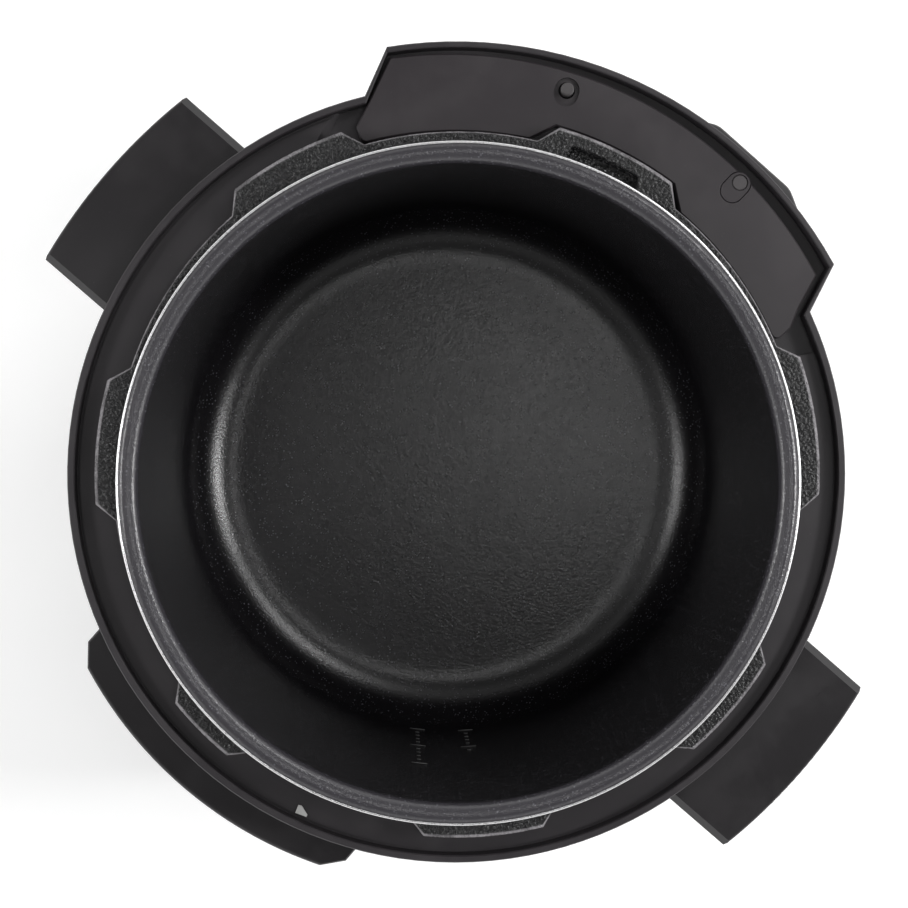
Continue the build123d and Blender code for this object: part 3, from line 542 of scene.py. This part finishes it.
def tickTree():
    # a ladder of bars up a leaning wall, every fifth one long
    s, given, out = newTree("scaleTicks",
                            [("Count", "int", 10), ("Step", "vector", (0, 0, 0.006)),
                             ("Start", "vector", (0, 0, 0)), ("Turn", "float", 0.0),
                             ("Long", "float", 0.006), ("Short", "float", 0.002),
                             ("Every", "int", 5), ("Material", "material", None)])
    line = s.add("GeometryNodeMeshLine", {"Count": given["Count"], "Start Location": given["Start"],
                                          "Offset": given["Step"]}, mode="OFFSET")
    points = s.add("GeometryNodeMeshToPoints", {"Mesh": line.outputs[0]})
    index = s.add("GeometryNodeInputIndex").outputs[0]
    isLong = s.math("LESS_THAN", s.math("MODULO", index, given["Every"]), 0.5)
    width = s.add("ShaderNodeMapRange", {"Value": isLong, "From Min": 0.0, "From Max": 1.0,
                                         "To Min": given["Short"], "To Max": given["Long"]}).outputs["Result"]
    size = s.add("ShaderNodeCombineXYZ", {"X": 1.0, "Y": width, "Z": 1.0})
    turn = s.add("ShaderNodeCombineXYZ", {"Z": given["Turn"]})
    on = s.add("GeometryNodeInstanceOnPoints", {"Points": points.outputs[0], "Instance": given["Geometry"],
                                                "Rotation": turn.outputs[0], "Scale": size.outputs[0]})
    return endTree(s, given, out, on.outputs[0])


def makeScale():
    tree = tickTree()
    lean = (pot["mouthR"] - pot["footR"]) / (potHigh.z - potLow.z)
    for number, (degrees, count) in enumerate(scale["ladders"].items()):
        bar = newPiece("potScale" + str(number + 1), *softBar(scale["proud"] * 2, 1.0, scale["height"]),
                       materials["scale_print"])
        r = pot["footR"] + lean * (scale["fromZ"] - potLow.z)
        start = polar(r, degrees, scale["fromZ"]) + potAxis
        step = polar(lean * scale["step"], degrees, scale["step"])
        runTree(bar, tree, {"Count": count, "Step": tuple(step), "Start": tuple(start), "Long": scale["long"],
                            "Short": scale["short"], "Every": scale["every"], "Turn": math.radians(degrees),
                            "Material": materials["scale_print"]})
        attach(bar, "pot")
    print("scale made:", len(scale["ladders"]), "ladders")


def softBar(x, y, z):
    # an eight-cornered bar with its long top edges taken off
    verts = []
    outline = [(-x / 2, -z / 2), (x / 4, -z / 2), (x / 2, -z / 4), (x / 2, z / 4), (x / 4, z / 2),
               (-x / 2, z / 2)]
    for side in (-y / 2, y / 2):
        verts += [(px, side, pz) for px, pz in outline]
    n = len(outline)
    faces = [(i, (i + 1) % n, n + (i + 1) % n, n + i) for i in range(n)]
    faces += [tuple(reversed(range(n))), tuple(range(n, 2 * n))]
    return verts, faces


makeScale()


# hammered skin of the locking flange
skin = {"steps": 2300, "rows": 24, "sideRows": 8, "insetR": 0.1177, "lift": 0.00004, "cell": 0.00115,
        "depth": 0.00034, "sideDepth": 0.00014, "wornRows": 2,
        "lug": 0.0054, "outside": 0.14, "bevel": 0.0007, "above": 0.01, "inside": 0.00005,
        "domeFall": 1.4, "domeShare": 0.8, "swellShare": 0.3, "swellScale": 0.55}


def hammered(point):
    # pebbled height, about 0 to 1
    spot = point / skin["cell"]
    near = noise.voronoi(spot)[0][0]
    dome = max(0.0, 1.0 - near * near * skin["domeFall"]) * skin["domeShare"]
    return dome + skin["swellShare"] * noise.noise(spot * skin["swellScale"])


def makeFlangeSkin():
    tree = surfaceOf("locking_flange")
    top = flangeHigh.z
    midZ = top - skin["lug"] / 2
    lowZ = top - skin["lug"]
    verts, faces = [], []
    rows = skin["rows"] + skin["sideRows"]
    for i in range(skin["steps"]):
        degrees = 360.0 * i / skin["steps"]
        out = polar(1.0, degrees)
        hit = tree.ray_cast(out * skin["outside"] + Vector((0, 0, midZ)), -out)[0]
        outerR = math.hypot(hit.x, hit.y)
        for j in range(skin["rows"]):
            t = j / (skin["rows"] - 1)
            r = skin["insetR"] + (outerR - skin["inside"] - skin["insetR"]) * t
            above = out * r + Vector((0, 0, top + skin["above"]))
            ground = tree.ray_cast(above, Vector((0, 0, -1)))[0]
            z = max(ground.z, lowZ) if ground else lowZ
            rise = skin["lift"] + skin["depth"] * hammered(Vector((out.x * r, out.y * r, z)))
            verts.append((out.x * r, out.y * r, z + rise))
        for j in range(1, skin["sideRows"] + 1):
            z = top - skin["bevel"] - (skin["lug"] - skin["bevel"]) * j / skin["sideRows"]
            spot = Vector((out.x * outerR, out.y * outerR, z))
            r = outerR + skin["lift"] + skin["sideDepth"] * hammered(spot)
            verts.append((out.x * r, out.y * r, z))
    for i in range(skin["steps"]):
        k = (i + 1) % skin["steps"]
        for j in range(rows - 1):
            faces.append((i * rows + j, i * rows + j + 1, k * rows + j + 1, k * rows + j))
    made = newPiece("hammeredSkin", verts, faces, materials["hammered_enamel"])
    # the outermost top rows and the first side row carry the painted edge highlight
    edgeRow = skin["rows"] - 1
    rowEdgeHighlight = [1.0 if edgeRow - skin["wornRows"] <= j <= edgeRow + 1 else 0.0 for j in range(rows)]
    wear = made.data.attributes.new("wear", "FLOAT", "POINT")
    wear.data.foreach_set("value", rowEdgeHighlight * skin["steps"])
    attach(made, "base")
    print("flange skin made:", len(faces), "faces")


makeFlangeSkin()


# lit digits and printed marks on the control panel
panel = {"lift": 0.00004, "gap": 0.0004, "before": 0.01, "digits": 4, "pitch": 0.0082,
         "segment": (0.0042, 0.0009), "lean": 0.10,
         "ring": (0.0021, 0.0026), "ringSteps": 49, "bar": (0.0022, 0.00045), "barPitch": 0.0009}


def segmentTree():
    # flat pointed bars on marked points, the whole set repeated along a line
    s, given, out = newTree("segmentBars",
                            [("Count", "int", 4), ("Step", "vector", (0.008, 0, 0)),
                             ("Start", "vector", (0, 0, 0)), ("Length", "float", 0.004),
                             ("Width", "float", 0.001), ("Material", "material", None)])
    bar = s.add("GeometryNodeMeshCircle", {"Vertices": 6, "Radius": 0.5}, fill_type="NGON")
    upright = s.add("GeometryNodeInputNamedAttribute", {"Name": "upright"}, data_type="FLOAT").outputs[0]
    turn = s.add("ShaderNodeCombineXYZ", {"Z": s.math("MULTIPLY", upright, math.pi / 2)})
    size = s.add("ShaderNodeCombineXYZ", {"X": given["Length"], "Y": given["Width"], "Z": 1.0})
    spots = s.add("GeometryNodeMeshToPoints", {"Mesh": given["Geometry"]})
    one = s.add("GeometryNodeInstanceOnPoints", {"Points": spots.outputs[0], "Instance": bar.outputs[0],
                                                 "Rotation": turn.outputs[0], "Scale": size.outputs[0]})
    line = s.add("GeometryNodeMeshLine", {"Count": given["Count"], "Start Location": given["Start"],
                                          "Offset": given["Step"]}, mode="OFFSET")
    places = s.add("GeometryNodeMeshToPoints", {"Mesh": line.outputs[0]})
    every = s.add("GeometryNodeInstanceOnPoints", {"Points": places.outputs[0], "Instance": one.outputs[0]})
    return endTree(s, given, out, every.outputs[0])


def segmentBars(name, points, values):
    # points are (x, y, upright) on a flat sheet
    mesh = bpy.data.meshes.new(name)
    mesh.from_pydata([(x, y, 0.0) for x, y, _ in points], [], [])
    upright = mesh.attributes.new("upright", "FLOAT", "POINT")
    upright.data.foreach_set("value", [up for _, _, up in points])
    obj = bpy.data.objects.new(name, mesh)
    bpy.context.scene.collection.objects.link(obj)
    return runTree(obj, segments, values)


def pressOnto(obj, node, lean=0.0):
    # stand the flat sheet up in front of the node and lay it on its front face
    low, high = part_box(node)
    middle = (low + high) / 2
    tree = surfaceOf(node)
    for vertex in obj.data.vertices:
        x, z = middle.x + vertex.co.x + lean * vertex.co.y, middle.z + vertex.co.y
        hit = tree.ray_cast(Vector((x, low.y - panel["before"], z)), Vector((0, 1, 0)))[0]
        vertex.co = (x, hit.y - panel["lift"], z)


def makeDigits():
    long, wide = panel["segment"]
    reach = long / 2 + panel["gap"]
    points = [(x, reach + y, 1.0) for x in (-reach, reach) for y in (-2 * reach, 0)]
    points += [(0, y, 0.0) for y in (-2 * reach, 0, 2 * reach)]
    span = panel["pitch"] * (panel["digits"] - 1)
    made = segmentBars("displayDigits", points,
                       {"Count": panel["digits"], "Step": (panel["pitch"], 0, 0), "Start": (-span / 2, 0, 0),
                        "Length": long, "Width": wide, "Material": materials["digit_glow"]})
    pressOnto(made, "display_window", panel["lean"])
    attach(made, "base")


def makeIcons(buttons):
    # a ring round one, two or three short bars on every button
    long, wide = panel["bar"]
    for number, node in enumerate(buttons):
        plain = "".join(word.capitalize() for word in node.split("_")[1:])
        count = number % 3 + 1
        bars = segmentBars("iconBars" + plain, [(0, 0, 1.0)],
                           {"Count": count, "Step": (panel["barPitch"], 0, 0),
                            "Start": (-panel["barPitch"] * (count - 1) / 2, 0, 0), "Length": long,
                            "Width": wide, "Material": materials["panel_print"]})
        ring = runTree(profilePiece("iconRing" + plain, [(r, 0) for r in panel["ring"]]), lathe,
                       {"Segments": panel["ringSteps"], "Rows": 2, "Axis": (0, 0, 0),
                        "Material": materials["panel_print"]})
        for piece in (bars, ring):
            pressOnto(piece, node)
            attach(piece, node)


segments = segmentTree()
buttonNodes = sorted(name for name in nodes if name.startswith("button_") and name != "button_switches")
makeDigits()
makeIcons(buttonNodes)
print("panel marks made:", len(buttonNodes), "buttons")

# coil springs in place of the spring pieces, at the pieces' size
springs = {"sensor_spring": {"joint": "sensor_press", "wire": 0.0007, "turns": 4.5},
           "closed_pin_spring": {"joint": "lid_closed_press", "wire": 0.0003, "turns": 3.5},
           "open_pin_spring": {"joint": "lid_open_press", "wire": 0.0003, "turns": 3.5}}
# the give is the joint's travel and a hair more
springMake = {"give": 0.0032, "stepsPerTurn": 40, "stepsAround": 12}


def springTree():
    s, given, out = newTree("coilSpring",
                            [("Turns", "float", 6.0), ("Radius", "float", 0.005),
                             ("Height", "float", 0.01), ("Wire", "float", 0.0004),
                             ("Place", "vector", (0, 0, 0)), ("Material", "material", None)])
    line = s.add("GeometryNodeCurveSpiral",
                 {"Resolution": springMake["stepsPerTurn"], "Rotations": given["Turns"],
                  "Start Radius": given["Radius"], "End Radius": given["Radius"],
                  "Height": given["Height"]})
    ring = s.add("GeometryNodeCurvePrimitiveCircle",
                 {"Resolution": springMake["stepsAround"], "Radius": given["Wire"]}, mode="RADIUS")
    tube = s.add("GeometryNodeCurveToMesh", {"Curve": line.outputs[0], "Profile Curve": ring.outputs[0],
                                             "Fill Caps": True})
    moved = s.add("GeometryNodeTransform", {"Geometry": tube.outputs[0], "Translation": given["Place"]})
    return endTree(s, given, out, moved.outputs[0])


def makeSprings():
    tree = springTree()
    for node, facts in springs.items():
        low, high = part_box(node)
        middle, wire = (low + high) / 2, facts["wire"]
        tall = high.z - low.z
        name = "".join(word.capitalize() for word in node.split("_"))
        made = runTree(profilePiece(name[0].lower() + name[1:], [(0, 0), (wire, 0)]), tree,
                       {"Turns": facts["turns"], "Radius": (high.x - low.x) / 2 - wire,
                        "Height": tall - 2 * wire, "Wire": wire,
                        "Place": (middle.x, middle.y, low.z + wire), "Material": materials["steel"]})
        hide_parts(node)
        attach(made, "base")
        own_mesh(made)
    print("springs made:", len(springs))


makeSprings()

# stage, lights and camera
stage = {"floorSize": 6.0, "floorTone": (0.92, 0.92, 0.92), "floorShade": 0.99, "floorRough": 0.9,
         "floorGlow": 0.20}


def makeFloor():
    half = stage["floorSize"] / 2
    corners = [(-half, -half, 0), (half, -half, 0), (half, half, 0), (-half, half, 0)]
    mat, s, shader, where = newMaterial("paleFloor")
    soft = s.add("ShaderNodeTexNoise", {"Vector": where, "Scale": 2.0, "Detail": 3.0})
    tone = stage["floorTone"]
    shade = tuple(c * stage["floorShade"] for c in tone)
    s.link(s.mixColor(soft.outputs[0], (*tone, 1), (*shade, 1)), shader.inputs["Base Color"])
    shader.inputs["Roughness"].default_value = stage["floorRough"]
    shader.inputs["Emission Color"].default_value = (1, 1, 1, 1)
    shader.inputs["Emission Strength"].default_value = stage["floorGlow"]
    floor = newPiece("floor", corners, [(0, 1, 2, 3)], mat, smooth=False)


def softLight(name, place, target, size, power):
    data = bpy.data.lights.new(name, "AREA")
    data.shape = "RECTANGLE"
    data.size = size
    data.size_y = roomLight["lampDepth"]
    data.energy = power
    obj = bpy.data.objects.new(name, data)
    bpy.context.scene.collection.objects.link(obj)
    obj.location = place
    obj.rotation_mode = "QUATERNION"
    obj.rotation_quaternion = (Vector(target) - Vector(place)).to_track_quat("-Z", "Y")


cameraPlace = {"above": 0.5981, "offset": (-0.0386, 0.0092), "aim": (-0.0074, 0.0051),
               "up": (-0.6569, 0.7540, 0), "lens": 68.0}


def makeCamera():
    top = potHigh.z
    eye = Vector((*cameraPlace["offset"], top + cameraPlace["above"]))
    aim = Vector((*cameraPlace["aim"], top))
    back = (eye - aim).normalized()
    right = Vector(cameraPlace["up"]).cross(back).normalized()
    up = back.cross(right)
    data = bpy.data.cameras.new("studioCamera")
    data.lens = cameraPlace["lens"]
    obj = bpy.data.objects.new("studioCamera", data)
    bpy.context.scene.collection.objects.link(obj)
    turn = Matrix((right, up, back)).transposed().to_4x4()
    obj.matrix_world = Matrix.Translation(eye) @ turn
    bpy.context.scene.camera = obj


# lamps are place, width and power; the sky runs from a bright horizon to a dark zenith
roomLight = {"horizon": 1.50, "zenith": 0.12, "sky": (0.15, 0.95), "lampDepth": 0.25, "target": (0, 0, 0.12)}
lamps = {"right": ((0.80, 0.70, 1.00), 0.34, 8.5), "back": ((0.10, 1.00, 1.15), 0.40, 3.6),
         "left": ((-0.85, -0.72, 0.95), 0.34, 5.0), "overhead": ((0.124, 0.128, 1.27), 0.11, 0.80),
         "overLeft": ((-0.30, -0.26, 1.25), 0.30, 0.4)}


def makeSky():
    world = bpy.data.worlds.new("studio")
    bpy.context.scene.world = world
    world.use_nodes = True
    sky = Shade(world.node_tree)
    coords = sky.add("ShaderNodeTexCoord").outputs["Generated"]
    height = sky.add("ShaderNodeSeparateXYZ", {"Vector": coords}).outputs[2]
    background = world.node_tree.nodes["Background"]
    background.inputs[0].default_value = (1, 1, 1, 1)
    glow = sky.ramp(height, *roomLight["sky"], roomLight["horizon"], roomLight["zenith"])
    sky.link(glow, background.inputs[1])


makeCamera()
makeFloor()
makeSky()
bpy.context.scene.view_settings.view_transform = "Standard"
for name, (place, size, power) in lamps.items():
    softLight(name + "Light", place, roomLight["target"], size, power)
print("stage, camera and", len(lamps), "lamps made")
